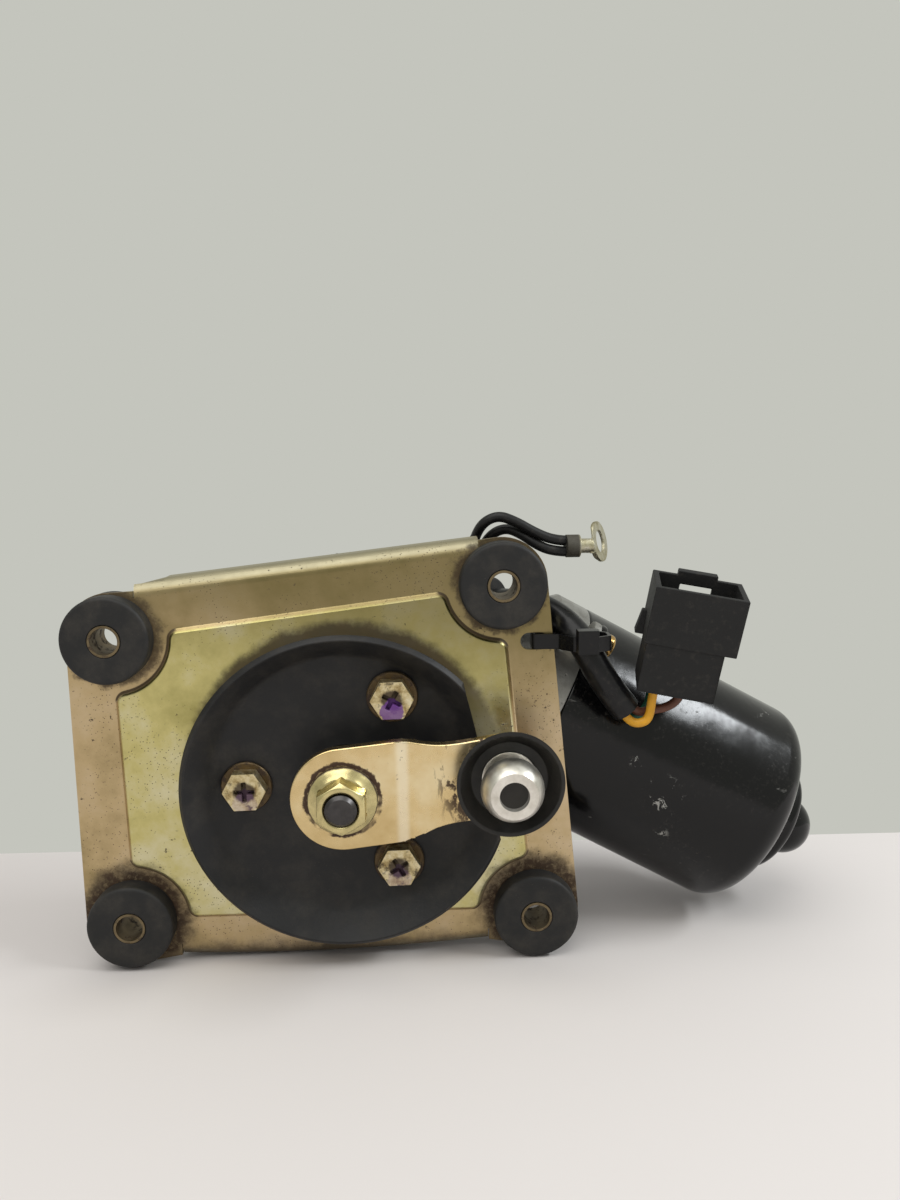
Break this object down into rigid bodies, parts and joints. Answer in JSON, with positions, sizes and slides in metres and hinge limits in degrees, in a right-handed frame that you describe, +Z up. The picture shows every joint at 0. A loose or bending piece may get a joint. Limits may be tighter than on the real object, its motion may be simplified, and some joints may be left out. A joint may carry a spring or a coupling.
{
  "type": "wiper motor",
  "caption": "Windscreen wiper motor with worm gear, crank arm and ball stud on a pressed mounting plate with rubber grommets and a bulkhead seal.",
  "frame": {"origin": "on the crank's axis, in the plane of the four grommets' front faces", "axes": "X along the plate, +Y back through the plate towards the gear, +Z up; the crank's axis is -Y"},
  "size_m": [0.2136, 0.0949, 0.1252],
  "materials": {
    "zinc_plate": "yellow passivated zinc, worn",
    "grommet_rubber": "dull moulded rubber",
    "seal_rubber": "dull moulded rubber",
    "sleeve_steel": "zinc plated",
    "screw_steel": "zinc plated, stained",
    "arm_steel": "zinc plated, stained",
    "nut_steel": "yellow passivated zinc",
    "ball_steel": "polished, greased",
    "boot_rubber": "dull moulded rubber",
    "shaft_steel": "ground",
    "black_paint": "gloss black",
    "gold_screw": "yellow passivated",
    "cast_alloy": "as cast",
    "cover_zinc": "zinc plated",
    "gasket_fibre": "fibre",
    "bronze": "sintered, oiled",
    "wheel_nylon": "moulded nylon",
    "copper": "copper",
    "insulator": "moulded phenolic",
    "ferrite": "sintered ferrite",
    "core_steel": "laminated, varnished",
    "carbon": "carbon",
    "spring_steel": "spring steel",
    "sheath_vinyl": "vinyl",
    "tie_nylon": "nylon",
    "wire_yellow": "vinyl",
    "wire_green": "vinyl",
    "wire_brown": "vinyl",
    "wire_black": "vinyl",
    "connector_plastic": "moulded plastic",
    "tinned": "tinned, tarnished"
  },
  "bodies": {
    "frame": {"mounting_plate": "zinc_plate", "seal_disc": "seal_rubber", "plate_screws": "screw_steel", "screw_washers": "screw_steel", "gear_housing": "cast_alloy", "shaft_bush": "bronze", "shaft_seal": "seal_rubber", "gear_cover": "cover_zinc", "cover_gasket": "gasket_fibre", "cover_screws": "screw_steel", "park_contact_carrier": "insulator", "park_contacts": "copper", "motor_can": "black_paint", "magnet_upper": "ferrite", "magnet_lower": "ferrite", "end_bush": "bronze", "worm_drive_bush": "bronze", "worm_end_bush": "bronze", "brush_plate": "insulator", "brushes": "carbon", "brush_springs": "spring_steel", "can_screws": "gold_screw", "thrust_screw": "screw_steel", "thrust_locknut": "screw_steel", "harness_grommet": "grommet_rubber", "earth_grommet": "grommet_rubber", "harness_sheath": "sheath_vinyl", "cable_tie": "tie_nylon", "wire_yellow": "wire_yellow", "wire_green": "wire_green", "wire_brown": "wire_brown", "connector_housing": "connector_plastic", "connector_terminals": "tinned", "earth_wire_a": "wire_black", "earth_wire_b": "wire_black", "ring_terminal": "tinned", "grommet_upper_left": "grommet_rubber", "sleeve_upper_left": "sleeve_steel", "grommet_upper_right": "grommet_rubber", "sleeve_upper_right": "sleeve_steel", "grommet_lower_right": "grommet_rubber", "sleeve_lower_right": "sleeve_steel", "grommet_lower_left": "grommet_rubber", "sleeve_lower_left": "sleeve_steel"},
    "crank": {"output_shaft": "shaft_steel", "worm_wheel": "wheel_nylon", "park_cam": "copper", "crank_arm": "arm_steel", "crank_nut": "nut_steel", "ball_stud": "ball_steel", "ball_boot": "boot_rubber", "shaft_clip": "spring_steel"},
    "armature": {"armature_shaft": "shaft_steel", "armature_core": "core_steel", "armature_windings": "copper", "commutator": "copper", "thrust_ball": "ball_steel"}
  },
  "joints": [
    {"name": "crank_turn", "type": "hinge", "parent": "frame", "child": "crank", "pos_m": [0, 0, 0], "axis": [0, -1, 0], "continuous": true},
    {"name": "armature_spin", "type": "hinge", "parent": "frame", "child": "armature", "pos_m": [0.01802, 0.039, 0.0326], "axis": [0.8751, 0, -0.4839], "continuous": true}
  ],
  "couplings": [
    {"joint": "armature_spin", "follows": "crank_turn", "ratio": 62}
  ]
}
